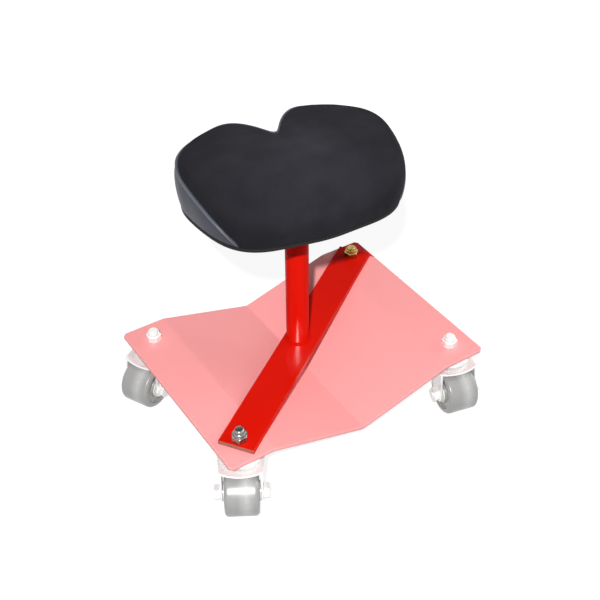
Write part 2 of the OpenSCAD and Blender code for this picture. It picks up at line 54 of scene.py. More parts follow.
def skin(name, points, material, closed_rows=False, wear_and_painted_light=None, maps=None, crease=35):
    """A closed piece from a grid of points, of rows by columns by 3. Each column runs on to the
    next and the last to the first. Rows do the same if closed_rows, and otherwise the first and
    last row are filled, where they are not drawn together to one point. The wear argument is 0 to
    1 for each point: real wear on most pieces, painted shade beside the cloth's seam and a
                      painted
    highlight on the vinyl's rolled edge. Maps holds two lengths in metres along the surface for
    each point."""
    rows, columns = points.shape[:2]
    index = np.arange(rows * columns).reshape(rows, columns)
    index = np.hstack([index, index[:, :1]])
    if closed_rows:
        index = np.vstack([index, index[:1]])
    quads = np.stack([index[:-1, :-1], index[:-1, 1:], index[1:, 1:], index[1:, :-1]], -1)
    faces = quads.reshape(-1, 4).tolist()
    if not closed_rows:
        faces += [index[0, :-1].tolist(), index[-1, :-1].tolist()]
    mesh = bpy.data.meshes.new(name)
    mesh.from_pydata(points.reshape(-1, 3).tolist(), [], faces)
    if wear_and_painted_light is not None:
        worn = mesh.attributes.new("wear_and_painted_light", "FLOAT", "POINT")
        worn.data.foreach_set("value", np.broadcast_to(wear_and_painted_light, (rows, columns)).ravel().astype("f"))
    if maps is not None:
        at_loops = np.empty(len(mesh.loops), int)
        mesh.loops.foreach_get("vertex_index", at_loops)
        layer = mesh.uv_layers.new(name="surface")
        layer.data.foreach_set("uv", maps.reshape(-1, 2)[at_loops].ravel())
    shell = bmesh.new()
    shell.from_mesh(mesh)
    bmesh.ops.remove_doubles(shell, verts=shell.verts, dist=0.002 * mm)
    bmesh.ops.recalc_face_normals(shell, faces=shell.faces)
    shell.to_mesh(mesh)
    shell.free()
    mesh.shade_smooth()
    mesh.set_sharp_from_angle(angle=np.radians(crease))
    mesh.materials.append(material)
    piece = in_scene(name, mesh)
    piece.modifiers.new("broad faces shade flat", "WEIGHTED_NORMAL").keep_sharp = True
    return piece


def new_finish(name, sockets):
    """A material with its constant values on its shader's own sockets. Gives the material, its
    node tree and the output that holds Object coordinates."""
    material = bpy.data.materials.new(name)
    material.use_nodes = True
    tree = material.node_tree
    for socket, value in sockets.items():
        tree.nodes["Principled BSDF"].inputs[socket].default_value = value
    return material, tree, step(tree, "TexCoord", {}).outputs["Object"]


def step(tree, kind, sockets, **settings):
    """One node of a finish. A socket is given a value, or another node's output to follow."""
    node = tree.nodes.new("ShaderNode" + kind)
    for setting, value in settings.items():
        setattr(node, setting, value)
    for socket, value in sockets.items():
        if isinstance(value, bpy.types.NodeSocket):
            tree.links.new(value, node.inputs[socket])
        else:
            node.inputs[socket].default_value = value
    return node


def between(amount, low, high):
    """A colour that goes from low to high as amount goes from 0 to 1."""
    ramp = step(amount.id_data, "ValToRGB", {"Fac": amount})
    ramp.color_ramp.elements[0].color = (*low, 1)
    ramp.color_ramp.elements[1].color = (*high, 1)
    return ramp.outputs["Color"]


def spread(amount, low, high, first=0.3, last=0.7):
    """A number that goes from low to high as amount goes from first to last."""
    return step(amount.id_data, "MapRange", {
        "Value": amount, "From Min": first, "From Max": last, "To Min": low,
        "To Max": high}).outputs["Result"]


def noise(place, scale, detail):
    """Smooth noise from 0 to 1, with finer noise laid over it detail times."""
    return step(place.id_data, "TexNoise", {"Vector": place, "Scale": scale,
                                            "Detail": detail}).outputs["Fac"]


def reckoned(operation, *numbers):
    """A sum, a product or the like of some numbers, the first of them a node's output."""
    return step(numbers[0].id_data, "Math", dict(enumerate(numbers)),
                operation=operation).outputs[0]


def mixed(amount, first, second):
    """A colour that goes from the first to the second as amount goes from 0 to 1."""
    return step(amount.id_data, "Mix", {"Factor": amount, "A": first, "B": second},
                data_type="RGBA").outputs["Result"]


def wear_and_painted_light_on(tree):
    """The piece's own marks, as its grid of points gives them: real wear on most pieces, painted
    shade beside the cloth's seam and a painted highlight on the vinyl's rolled edge.
    """
    return step(tree, "Attribute", {}, attribute_name="wear_and_painted_light").outputs["Fac"]


def surface(material, colour, rough, height, strength, deep):
    """The material with its colour, its roughness, unless that is None and stays as it is, and
    a bump that follows height, deep in mm."""
    tree = material.node_tree
    bump = step(tree, "Bump", {"Height": height, "Strength": strength, "Distance": deep * mm})
    for socket, value in (("Base Color", colour), ("Roughness", rough),
                          ("Normal", bump.outputs["Normal"])):
        if value is not None:
            tree.links.new(value, tree.nodes["Principled BSDF"].inputs[socket])
    return material


def enamel(name, deep, full, chip, peel, sockets, dull=0.24):
    """Enamel on steel: a base colour that drifts between two tones over a hand's width, the
    small dimples of sprayed paint, and a paler line where the edges are rubbed. Dull is its
    least roughness."""
    material, tree, place = new_finish(name, sockets)
    drift, specks = noise(place, 9, 2), noise(place, 900, 2)
    rub_and_painted_highlight = reckoned("MULTIPLY", wear_and_painted_light_on(tree), spread(specks, 0, 1, 0.56, 0.66))
    return surface(material, mixed(rub_and_painted_highlight, between(drift, deep, full), (*chip, 1)),
                   spread(drift, dull, dull + 0.12, 0, 1), noise(place, peel, 2), 0.25, 0.08)


def eased_band(half_width, thickness, corner, apron):
    """The closed section of a flat sheet, with its four edges rounded by corner. Two more lines
    on each face stand apron inside the edges. Gives the across and depth of each point, and its
    wear, which is 1 at the rounded edges and 0 inside the apron."""
    turn = np.radians(np.linspace(0, 90, 5))
    inset, sunk, one = corner * (1 - np.cos(turn)), corner * (1 - np.sin(turn)), np.ones(5)
    side = np.concatenate([one, [1, -1], -one])
    across_in = np.concatenate([inset, [apron, apron], inset[::-1]])
    depth = np.concatenate([sunk, [0, 0], sunk[::-1]])
    across = np.append(side, -side) * (half_width[:, None] - np.tile(across_in, 2))
    depth = np.broadcast_to(np.append(depth, thickness - depth), across.shape)
    return across, depth, np.tile(np.concatenate([one, [0, 0], one]), 2)


def eased_sheet(along, half_width, thickness, corner, apron, rise):
    """A flat sheet along X, with every edge rounded by corner. Rise gives the height of its top
    face, and how steeply it climbs, at each place along. The depth is laid off square to it."""
    left = along.max() - np.abs(along)
    drawn_in = corner - np.sqrt(np.maximum(0, corner ** 2 - np.maximum(0, corner - left) ** 2))
    across, depth, wear_and_painted_light = eased_band(half_width - drawn_in, thickness, corner, apron)
    depth = np.clip(depth, drawn_in[:, None], thickness - drawn_in[:, None])
    height, climb = rise(along)
    lean = np.hypot(1, climb)
    points = np.stack([along[:, None] + depth * (climb / lean)[:, None], across,
                       height[:, None] - depth / lean[:, None]], -1)
    return points, np.maximum(wear_and_painted_light, (left[:, None] < 1.2 * mm) * 1.0)


def bent_rise(along):
    """Height of the plate's top: level pads, and a V whose three bends are eased over 3 mm each
    way. Eased is a ramp that starts as a parabola."""
    pad_z, bend, depth, ease = pad_top * mm, bend_x * mm, 39 * mm, 3 * mm

    def ramp(x):
        return np.where(np.abs(x) < ease, (x + ease) ** 2 / (4 * ease), np.maximum(0, x))

    def share(x):
        return np.clip((x + ease) / (2 * ease), 0, 1)

    fall = depth / bend
    height = pad_z - fall * (ramp(along + bend) - 2 * ramp(along) + ramp(along - bend))
    climb = -fall * (share(along + bend) - 2 * share(along) + share(along - bend))
    return height, climb


def ends_and(half_length, corner, apron, inner):
    """Places along a sheet: close together round its two ends, and the given inner ones."""
    end = half_length - np.append(corner * (1 - np.cos(np.radians([0, 22, 45, 67, 90]))), apron)
    return np.unique(np.round(np.concatenate([-end, inner, end]), 7))


def beyond(material, turn, middle, first, last, low, high):
    """Gives the base colour over to two other tones past two lines that cross a heading: where
    the distance along it from middle passes from first to last, in mm."""
    tree = material.node_tree
    colour = tree.nodes["Principled BSDF"].inputs["Base Color"]
    place = step(tree, "TexCoord", {}).outputs["Object"]
    along = step(tree, "VectorMath", {0: place, 1: (np.cos(turn), np.sin(turn), 0)},
                 operation="DOT_PRODUCT").outputs["Value"]
    off = reckoned("ABSOLUTE", reckoned("SUBTRACT", along, middle * mm))
    other = between(noise(place, 500, 4), low, high)
    tree.links.new(mixed(spread(off, 0, 1, first * mm, last * mm),
                         colour.links[0].from_socket, other), colour)


plate_paint = enamel("pale pink enamel", (0.93, 0.338, 0.338), (0.97, 0.376, 0.376),
                     (0.75, 0.55, 0.52), 380,
                     {"Coat Weight": 0.04, "Coat Roughness": 0.4, "Specular IOR Level": 0.3},
                     dull=0.5)
stem_x, stem_y = 169.6, 119.1
pad_top, bend_x, sheet = 92, 138, 4.8
bar_turn = np.arctan2(stem_y, stem_x)
beyond(plate_paint, bar_turn, -1000, 1224.2, 1224.8, (0.6, 0.0055, 0.0015),
       (0.67, 0.0085, 0.0025))
plate_x, plate_y, clip_x, plate_edge = 203 * mm, 152.5 * mm, 198.5 * mm, 0.8 * mm
bends = np.concatenate([
    c * mm + np.linspace(-3.2, 3.2, 9) * mm for c in (-bend_x, 0, bend_x)])
along = ends_and(plate_x, plate_edge, 3 * mm,
                 np.concatenate([np.linspace(-clip_x, clip_x, 60), bends]))
plate_half = plate_y - np.maximum(0, np.abs(along) - clip_x)
points, wear_and_painted_light = eased_sheet(along, plate_half, sheet * mm, plate_edge, 3 * mm, bent_rise)
dolly_plate = skin("folded_plate", points, plate_paint, wear_and_painted_light=wear_and_painted_light)
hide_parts("dolly_plate")
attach(dolly_plate, "base")

# ---- Diagonal bar ------------------------------------------------------------------------
# Hot-rolled flat steel, 50 by 6 mm, powder coated red, sawn to length with its ends left bare
# and drilled for two caster stems. It spans the V from the front left stem to the back right.


def pooled(material, centre, reach, thin):
    """A glossier coat where the powder flowed together, in an ellipsoid that lies towards the
    seat's front left: its weight falls from 1 at a third of its reach, in mm, to thin at its
    edge."""
    tree = material.node_tree
    place = step(tree, "TexCoord", {}).outputs["Object"]
    shares = step(tree, "Mapping", {
        "Vector": place, "Location": [c * mm for c in centre], "Scale": [r * mm for r in reach],
        "Rotation": (0, 0, np.radians(-123))}, vector_type="TEXTURE").outputs["Vector"]
    away = step(tree, "VectorMath", {0: shares}, operation="LENGTH").outputs["Value"]
    tree.links.new(spread(away, 1, thin, 0.35, 1),
                   tree.nodes["Principled BSDF"].inputs["Coat Weight"])


def swung(points, turn):
    """Points turned about the Z axis, anticlockwise as seen from above."""
    c, s = np.cos(turn), np.sin(turn)
    return points @ np.array([[c, s, 0], [-s, c, 0], [0, 0, 1]])


red_gloss = {"Coat Roughness": 0.24, "Coat IOR": 1.9, "Specular IOR Level": 0.02}
red_paint = enamel("glossy red powder coat", (0.6, 0.0055, 0.0015), (0.67, 0.0085, 0.0025),
                   (0.6, 0.09, 0.06), 520, red_gloss)
pooled(red_paint, (-24, -30, 98), (52, 17, 20), 0.02)
bar_shift, bar_top, bar_edge = 2.4, 98, 0.7 * mm
beyond(red_paint, bar_turn, bar_shift, 221.3, 221.8, (0.2, 0.07, 0.05), (0.45, 0.22, 0.17))
along = ends_and(222.04 * mm, bar_edge, 2.5 * mm, np.linspace(-215, 215, 30) * mm)
points, wear_and_painted_light = eased_sheet(along, np.full(len(along), 25 * mm), 6 * mm, bar_edge, 2.5 * mm,
                           lambda x: (np.full(len(x), bar_top * mm), np.zeros(len(x))))
diagonal_bar = skin("flat_bar", swung(points + [bar_shift * mm, 0, 0], bar_turn), red_paint,
                    wear_and_painted_light=wear_and_painted_light)
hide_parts("diagonal_bar")
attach(diagonal_bar, "base")

# ---- Post --------------------------------------------------------------------------------
# Round steel tube, 31.8 mm, cut square and deburred. It stands on the bar a little off its
# middle line, is welded all round its foot, and is coated with the bar as one piece.

post_x, post_y = -1.8 * mm, 5.4 * mm


def eased(profile, corner, steps=3):
    """A closed profile whose corners are rounded: each is cut back by corner, or by a third of
    its shorter side, and joined by a curve that leaves both sides along their lines."""
    profile = np.array(profile, float) * mm
    before, after = np.roll(profile, 1, 0) - profile, np.roll(profile, -1, 0) - profile
    short = np.minimum(np.linalg.norm(before, axis=1), np.linalg.norm(after, axis=1))
    back = np.minimum(corner * mm, short / 3)[:, None]
    start = profile + before / np.linalg.norm(before, axis=1)[:, None] * back
    end = profile + after / np.linalg.norm(after, axis=1)[:, None] * back
    t = np.linspace(0, 1, steps + 1)[None, :, None]
    curve = ((1 - t) ** 2 * start[:, None] + 2 * t * (1 - t) * profile[:, None]
             + t ** 2 * end[:, None])
    return curve.reshape(-1, 2)


def polar(radius, angle, height):
    """Points by their radius, angle and height about the Z axis."""
    return np.stack(np.broadcast_arrays(
        radius * np.cos(angle), radius * np.sin(angle), height), -1)


def turned(profile, sides=96):
    """A closed profile of radius and height, carried round the Z axis."""
    return polar(profile[:, :1], np.arange(sides) * 2 * np.pi / sides, profile[:, 1:])


post_r, post_top = 15.9, 320.7
tube = eased([(post_r, bar_top), (post_r, post_top), (13.4, post_top), (13.4, bar_top)], 0.5)
# Painted light: the post's red is about 7 % lighter than the bar's, though post and bar are one
# coat.
post_red_painted_lighter = enamel("glossy red powder coat on the post", (0.64, 0.006, 0.0018),
                    (0.71, 0.009, 0.003), (0.6, 0.09, 0.06), 520, red_gloss)
pooled(post_red_painted_lighter, (-10.7, -7.8, bar_top), (10, 10, 48), 0.02)
seat_post = skin("post_tube", turned(tube, 128) + [post_x, post_y, 0], post_red_painted_lighter,
                 closed_rows=True)
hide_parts("seat_post")
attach(seat_post, "base")


def weld_bead(foot_r, foot_z, leg):
    """The bead's face runs from the tube's wall to the bar's top as a shallow convex arc. It is
    laid in about 40 overlapping drops, and each stands 0.12 mm proud with its edge bowed."""
    angle = np.arange(480) * 2 * np.pi / 480
    way = np.linspace(0, np.pi / 2, 9)[:, None]
    drop = (angle * 20 / np.pi + 0.35 * np.sin(2 * way)) % 1
    reach = (leg * (1 + 0.12 * np.sin(2 * way))
             + 0.12 * mm * np.sin(np.pi * drop) * np.sin(2 * way))
    radius = np.vstack([foot_r + reach * np.sin(way), np.full((1, 480), foot_r)])
    height = np.vstack([foot_z + reach * np.cos(way), np.full((1, 480), foot_z)])
    return polar(radius, angle, height)


bead = weld_bead(post_r * mm, bar_top * mm, 2.4 * mm)
# Painted shade: the weld's red is darker than the post's and the bar's, though all three are one
# coat.
weld_red_painted_darker = enamel("red powder coat on the weld", (0.53, 0.004, 0.0012), (0.6, 0.007, 0.002),
                    (0.5, 0.06, 0.04), 520, {"Specular IOR Level": 0.02})
post_weld = skin("foot_weld", bead + [post_x, post_y, 0], weld_red_painted_darker, closed_rows=True,
                 crease=60)
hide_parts("post_weld")
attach(post_weld, "base")

# ---- Post bushes and thrust washer -------------------------------------------------------
# Turned from natural nylon. The two bushes are pressed into the ends of the spindle's run in
# the post, and the washer carries the seat on the upper bush's flange.


def natural_nylon(name, dull, clean):
    """Off-white plastic that light enters a little, with the fine rings a lathe tool leaves."""
    material, tree, place = new_finish(name, {
        "Subsurface Weight": 0.15, "Subsurface Scale": 2 * mm, "Specular IOR Level": 0.4})
    cloud = noise(place, 60, 3)
    rings = step(tree, "TexWave", {"Vector": place, "Scale": 420, "Distortion": 1.5},
                 bands_direction="Z").outputs["Fac"]
    return surface(material, between(cloud, dull, clean), spread(cloud, 0.34, 0.48), rings, 0.2,
                   0.02)


def dress(nodes, material):
    """Carried-over solids whose shape is right take the finish in every material slot."""
    for name in nodes:
        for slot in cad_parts[name].material_slots:
            slot.material = material


nylon = natural_nylon("natural nylon", (0.76, 0.74, 0.66), (0.86, 0.85, 0.79))
dress(["upper_post_bush", "lower_post_bush", "thrust_washer"], nylon)

# ---- Spindle -----------------------------------------------------------------------------
# Ground steel rod, 19 mm, pressed through the seat plate. A groove near its top takes the tip
# of the keeper screw, which lets the seat turn and keeps it from lifting out.


def ground_steel():
    """Bare steel with the fine lines of grinding, as streaks of brightness round the part."""
    material, tree, place = new_finish("ground steel", {"Metallic": 1.0})
    long = step(tree, "Mapping", {"Vector": place, "Scale": (30, 30, 900)}).outputs["Vector"]
    lines = noise(long, 6, 4)
    return surface(material, between(lines, (0.55, 0.55, 0.56), (0.72, 0.72, 0.73)),
                   spread(lines, 0.16, 0.3), lines, 0.15, 0.01)


steel = ground_steel()
dress(["seat_spindle"], steel)

# ---- Upper races -------------------------------------------------------------------------
# Dishes pressed from 2.5 mm sheet and zinc plated. Each is clamped under a pad of the plate,
# and its skirt shields the ring of balls.

corners = {"front_left": (-stem_x, -stem_y, -30.5), "front_right": (stem_x, -stem_y, -12.5),
           "back_left": (-stem_x, stem_y, -63.5), "back_right": (stem_x, stem_y, 12.0)}


def zinc_plate(name, dull, bright, low, high, mirror):
    """Electroplated steel: metal with cloudy tone from the bath, whose roughness goes from low
    to high with it, and fine press scratches that all run about one way."""
    material, tree, place = new_finish(name, {"Metallic": mirror})
    cloud = noise(place, 60, 2)
    drawn = step(tree, "Mapping", {"Vector": place, "Scale": (1, 9, 1)}).outputs["Vector"]
    return surface(material, between(cloud, dull, bright), spread(cloud, low, high),
                   noise(drawn, 500, 3), 0.02, 0.01)


def at_caster(points, corner):
    """Points drawn about a stem, turned to the caster's heading and moved to its place."""
    x, y, heading = corners[corner]
    return swung(points, np.radians(heading)) + [x * mm, y * mm, 0]


def joined(piece, *others):
    """The first piece, with the others joined to it."""
    with bpy.context.temp_override(active_object=piece,
                                   selected_editable_objects=[piece, *others]):
        bpy.ops.object.join()
    return piece


zinc = zinc_plate("bright zinc plate", (0.88, 0.88, 0.87), (0.95, 0.95, 0.94), 0.24, 0.36, 0.4)
stem_r, stem_hole = 6.35, 6.37
race = eased([(stem_hole, 87.2), (23, 87.2), (29, 85.7), (29, 78.2), (26.5, 78.2), (26.5, 83.2),
              (21.75, 84.7), (stem_hole, 84.7)], 1.6, 4)
for corner in corners:
    upper_race = skin(corner + "_race_dish", at_caster(turned(race), corner), zinc,
                      closed_rows=True)
    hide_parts(corner + "_upper_race")
    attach(upper_race, "base")
    dress([corner + "_balls"], steel)
dress(["king_washers"], zinc)

# ---- Caster forks ------------------------------------------------------------------------
# Pressed from 3 mm sheet and zinc plated: a crown with a raised ring that carries the balls,
# bowed at its front, and two legs that hold the axle. Their edges are rounded by the press.


def pierced(hole, outer, thickness, corner, rings):
    """A sheet round a hole, as a closed section for each heading: out along its near face
    through the rings, which are shares of the way to the edge, round the edge, and back along
    its far face. Gives the radius and depth for each point and heading."""
    turn = np.radians(np.linspace(0, 90, 5))[:, None]
    edge = outer[None, :]
    near = hole + (edge - corner - hole) * np.array(rings)[:, None]
    rim = edge - corner * (1 - np.sin(turn))
    radius = np.vstack([near, rim, rim[::-1], near[::-1]])
    n = len(near)
    depth = np.concatenate([np.zeros(n), corner * (1 - np.cos(turn[:, 0]))])
    return radius, np.concatenate([depth, thickness - depth[::-1]])[:, None] + 0 * radius


crown_top, trail, axle_z, leg_top = 72.5, 28, 31.75, 71


def fork_crown(headings):
    """The crown in polar form about its stem: the furthest of a circle and two straight flanks,
    cut by the bowed front. The ring stands 5.75 mm proud between radii 12.5 and 24, on slopes
    2.5 mm wide, and the sheet keeps its thickness through it."""
    x, y = np.cos(headings), np.sin(headings)
    flank = np.where(y < 0, 31 / (np.abs(x) + np.abs(y) * 3.5 / 41 + 1e-9), 31)
    bowed = 18 * y + np.sqrt((18 * y) ** 2 - 18 ** 2 + 59 ** 2)
    outer = np.minimum(np.maximum(31, flank), bowed) * mm
    radius, depth = pierced(6.43 * mm, outer, 3 * mm, 1 * mm,
                            [0, .06, .1, .14, .18, .22, .26, .3, .4, .5, .6, .68, .72, .76, .8,
                             .84, .9, .97])
    r = radius / mm
    ring = 5.75 * mm * np.clip((r - 10) / 2.5, 0, 1) * np.clip((26.5 - r) / 2.5, 0, 1)
    return polar(radius, headings, crown_top * mm + ring - depth)


def fork_leg(headings, side):
    """A leg in polar form about the axle: a boss 12 mm in radius, drawn up to a straight top
    from 34 mm in front of the stem to 6 mm behind it. The edges from the boss to the top's ends
    are the lines from each end that touch the boss."""
    reach = np.full(len(headings), 12.0)
    ends = [(trail + x, leg_top - axle_z) for x in (6, -34)]
    for x, y in ends:
        aim, swing = np.arctan2(y, x), np.arccos(12 / np.hypot(x, y))
        for way in (-1, 1):
            off = np.angle(np.exp(1j * (headings - aim - way * swing)))
            edge = np.maximum(reach, 12 / np.maximum(1e-6, np.cos(off)))
            reach = np.where((np.sign(off) == -way) & (np.abs(off) < swing + 1e-9), edge, reach)
    first, last = (np.arctan2(y, x) for x, y in ends)
    climb = np.maximum(1e-6, np.sin(headings))
    reach = np.where((headings >= first) & (headings <= last), (leg_top - axle_z) / climb, reach)
    radius, depth = pierced(stem_hole * mm, reach * mm, 3 * mm, 0.8 * mm, [0, 0.5, 0.98])
    return np.stack([side * (27.5 * mm - depth), radius * np.cos(headings) - trail * mm,
                     radius * np.sin(headings) + axle_z * mm], -1)


crown_turns = np.radians(np.unique(np.append(np.arange(0, 360, 2.5), [228.6, 311.4])))
leg_turns = np.unique(np.append(np.arange(0, 360, 4), np.degrees(np.arctan2(39.25, [34, -6]))))
for corner in corners:
    crown = skin(corner + "_fork_crown", at_caster(fork_crown(crown_turns), corner), zinc,
                 closed_rows=True)
    joined(crown, *(skin(corner + "_fork_leg", at_caster(fork_leg(np.radians(leg_turns), side),
                                                         corner), zinc, closed_rows=True)
                    for side in (-1, 1)))
    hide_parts(corner + "_fork")
    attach(crown, corner + "_caster")

# ---- Axles -------------------------------------------------------------------------------
# Half-inch bolts with plain hexagon heads, zinc plated. Each runs through both legs and a
# ground sleeve between them, and a hexagon nut holds it on the far side.


def hexagon(rows, across_flats):
    """A hexagon carried up an axis: each row has a height and the radius of the cone or collar
    that cuts its corners, and the hexagon's own radius at a heading is half its width across
    flats over the cosine of the heading from the nearest flat."""
    angle = np.arange(96) * 2 * np.pi / 96
    off_flat = (angle + np.pi / 6) % (np.pi / 3) - np.pi / 6
    hexagonal = across_flats / 2 / np.cos(off_flat)
    rows = np.array(rows, float) * mm
    radius = np.minimum(hexagonal[None, :] * mm, rows[:, 1:])
    return polar(radius, angle, rows[:, :1])


def at_axle(points):
    """Points drawn about an upright axis, laid along X on the axle behind the stem."""
    return (points @ np.array([[0, 0, -1], [0, 1, 0], [1, 0, 0]])
            + [0, -trail * mm, axle_z * mm])


across_flats, pitch = 19, 1.95
head = hexagon([(27.5, stem_r), (27.5, 9.3), (27.9, 9.8), (28.3, 11.2), (34.2, 11.2),
                (34.9, 10.2), (35.5, 8.8), (35.5, 3.0), (35.4, 2.5), (35.4, 0)], across_flats)
nut = hexagon([(-27.5, stem_hole), (-27.5, 9.3), (-27.9, 9.9), (-28.3, 11.2), (-34.4, 11.2),
               (-35, 10.2), (-35.5, 8.8), (-35.5, 7.4), (-35.2, 6.6), (-34.8, stem_hole)],
              across_flats)


def threaded(low, high):
    """A screw thread: the radius falls by half a millimetre and comes back once for each pitch,
    and the ridge climbs one pitch for each turn. Its end is drawn in over the last 1 mm."""
    angle = np.arange(48) * 2 * np.pi / 48
    height = np.linspace(low, high, int((high - low) / pitch * 8) + 1)[:, None]
    phase = (height / pitch - angle / (2 * np.pi)) % 1
    drawn_in = np.maximum(0, 1 - np.minimum(high - height, 1))
    r = stem_r - 0.5 * np.abs(2 * phase - 1) - drawn_in
    foot, tip = (np.broadcast_to([0, 0, z], (1, 48, 3)) for z in (low, high + 0.05))
    return np.concatenate([foot, polar(r, angle, height), tip]) * mm


def plain_shank(low, high):
    """A shank of the stem's radius, closed by flat ends."""
    return turned(np.array([(0, low), (stem_r, low), (stem_r, high), (0, high)]) * mm, 48)


for corner in corners:
    body = corner + "_caster"
    axle_bolt = joined(*(
        skin(corner + name, at_caster(at_axle(points), corner), zinc, crease=crease)
        for name, points, crease in (("_axle_bolt_head", head, 28),
                                     ("_axle_shank", threaded(-36.3, -27.6), 50),
                                     ("_axle_plain_shank", plain_shank(-27.6, 27.5), 35))))
    axle_nut = skin(corner + "_axle_nut_hex", at_caster(at_axle(nut), corner), zinc,
                    closed_rows=True, crease=28)
    for piece, node in ((axle_bolt, "_axle_bolt"), (axle_nut, "_axle_nut")):
        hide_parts(corner + node)
        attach(piece, body)
    dress([corner + "_axle_sleeve"], steel)

# ---- Wheels ------------------------------------------------------------------------------
# Moulded in one piece from hard pale grey rubber: a level tread, bevelled shoulders and a
# dished web on each side. Two flanged nylon bushes are pressed into the hub.


def hard_rubber():
    """Pale grey rubber with a satin skin: faint cloudiness, and small scuffs that are lighter,
    most of them where the tread is worn."""
    material, tree, place = new_finish("hard grey rubber", {
        "Specular IOR Level": 0.8, "Coat Weight": 0.4, "Coat Roughness": 0.28})
    cloud = noise(place, 70, 4)
    rub = step(tree, "TexNoise", {"Vector": place, "Scale": 260, "Detail": 5,
                                  "Roughness": 0.7}).outputs["Fac"]
    band = reckoned("MULTIPLY", wear_and_painted_light_on(tree), spread(rub, 0.5, 0.9, 0.3, 0.6))
    scuffs = reckoned("ADD", spread(rub, 0, 0.3, 0.62, 0.74), band)
    skin_tone = between(cloud, (0.267, 0.267, 0.262), (0.32, 0.32, 0.315))
    return surface(material, mixed(scuffs, skin_tone, (0.5, 0.5, 0.49, 1)),
                   spread(cloud, 0.28, 0.38), noise(place, 1500, 2), 0.2, 0.03)


rubber = hard_rubber()
half_wheel = [(11.05, 22.25), (15, 22.25), (15.4, 19.25), (23.4, 19.25), (24, 22.25),
              (28.55, 22.25), (31.4, 19.3), (axle_z, 17.0), (axle_z, 6.0)]
wheel_profile = eased(half_wheel + [(r, -z) for r, z in half_wheel[::-1]], 0.7)
rub_and_painted_highlight = np.exp(-((wheel_profile[:, 1:] / mm - 6) / 4) ** 2) * (wheel_profile[:, :1] > 31 * mm)
for corner in corners:
    moulding = at_caster(at_axle(turned(wheel_profile, 128)), corner)
    wheel = skin(corner + "_wheel_moulding", moulding, rubber, closed_rows=True, wear_and_painted_light=rub_and_painted_highlight,
                 crease=50)
    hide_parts(corner + "_wheel")
    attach(wheel, corner + "_roller")
    dress([corner + "_wheel_bushes"], nylon)

# ---- Stems and lock nuts -----------------------------------------------------------------
# Each fork hangs on a half-inch bolt whose stem goes up through the race, the plate and, at
# two corners, the bar. A lock nut holds it: a zinc plated hexagon with a collar round a nylon
# ring. The one at the back right is yellow passivated.


def yellow_zinc_plate():
    """Zinc with a yellow passivation: gold that shifts to olive and rose in soft patches. The
    tones are painted dark, as painted shade of the seat over the back right nut.
    """
    material, tree, place = new_finish("yellow zinc plate", {"Metallic": 1.0})
    patches = noise(place, 160, 2)
    ramp = step(tree, "ValToRGB", {"Fac": patches})
    tones = ramp.color_ramp.elements
    tones.new(0.5)
    for tone, position, colour in zip(tones, (0.3, 0.5, 0.7), (
            (0.3, 0.23, 0.05, 1), (0.48, 0.38, 0.12, 1), (0.42, 0.24, 0.12, 1))):
        tone.position, tone.color = position, colour
    return surface(material, ramp.outputs["Color"], spread(patches, 0.2, 0.32),
                   noise(place, 900, 3), 0.12, 0.02)


# Painted shade: the yellow zinc's tones are kept dark for the seat's shadow over the back right
# nut.
yellow_zinc_in_painted_shade = yellow_zinc_plate()
# Painted shade: darker copies of the nylon and the zinc. The rings of the front left and back
# right nuts take the dark nylon, and the front left nut and its stem the dark zinc, though they
# are the same nylon and plating as the other nuts.
nylon_in_painted_shade = natural_nylon("nylon painted dark as shade", (0.2, 0.2, 0.17), (0.36, 0.36, 0.32))
zinc_in_painted_shade = zinc_plate("zinc plate painted dark as shade", (0.22, 0.23, 0.21), (0.42, 0.43, 0.4), 0.18, 0.3, 0.95)
lock_nut = [(0, stem_hole), (0, 8.9), (0.3, 9.4), (0.9, 11.2), (8.4, 11.2), (9.0, 10.2),
            (9.5, 9.2), (9.55, 8.5), (9.8, 8.3), (12.6, 8.3), (13.4, 8.05), (13.9, 7.5),
            (14.0, 7.1), (13.8, 6.95), (12.6, 6.9)]
nylon_ring = [(stem_hole, 9.6), (6.95, 9.6), (6.95, 13.4), (6.8, 13.65), (stem_hole, 13.5)]
head_z, thread_foot = 68.2, 90
stem_cap = hexagon([(head_z - 6.5, 0), (head_z - 6.5, 9.2), (head_z - 5.9, 10.2),
                    (head_z - 5.4, 11.2), (head_z - 0.4, 11.2), (head_z, 10.6), (head_z, 0)],
                   across_flats)
plain_nuts = []
for corner in corners:
    seat_of_nut = bar_top if corner in ("front_left", "back_right") else pad_top
    tip = seat_of_nut + (19 if corner == "front_left" else 17)
    # The front left and back right nuts take the copies painted dark as shade.
    plating = {"back_right": yellow_zinc_in_painted_shade, "front_left": zinc_in_painted_shade}.get(corner, zinc)
    stem = joined(*(
        skin(corner + name, at_caster(points, corner), plating, crease=crease)
        for name, points, crease in (("_stem_bolt_head", stem_cap, 28),
                                     ("_stem_shank", plain_shank(head_z, thread_foot), 35),
                                     ("_stem_thread", threaded(thread_foot, tip), 50))))
    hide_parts(corner + "_stem_bolt")
    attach(stem, "base")
    lift = [0, 0, seat_of_nut * mm]
    hex_body = joined(
        skin(corner + "_lock_nut", at_caster(hexagon(lock_nut, across_flats) + lift, corner),
             plating, closed_rows=True, crease=28),
        skin(corner + "_nylon_ring",
             at_caster(turned(np.array(nylon_ring) * mm, 48) + lift, corner),
             nylon if plating is zinc else nylon_in_painted_shade, closed_rows=True))
    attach(hex_body, "base")
    if corner == "back_right":
        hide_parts("yellow_lock_nut")
    else:
        plain_nuts.append(hex_body)
for hex_body in plain_nuts:
    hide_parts("plain_lock_nuts")

# ---- Seat plate and screws ---------------------------------------------------------------
# Steel plate, 4 mm, painted satin black and pressed on the spindle. Four zinc plated screws
# hold it to tee nuts in the pan, and a fifth, the keeper, goes in through the post's wall.

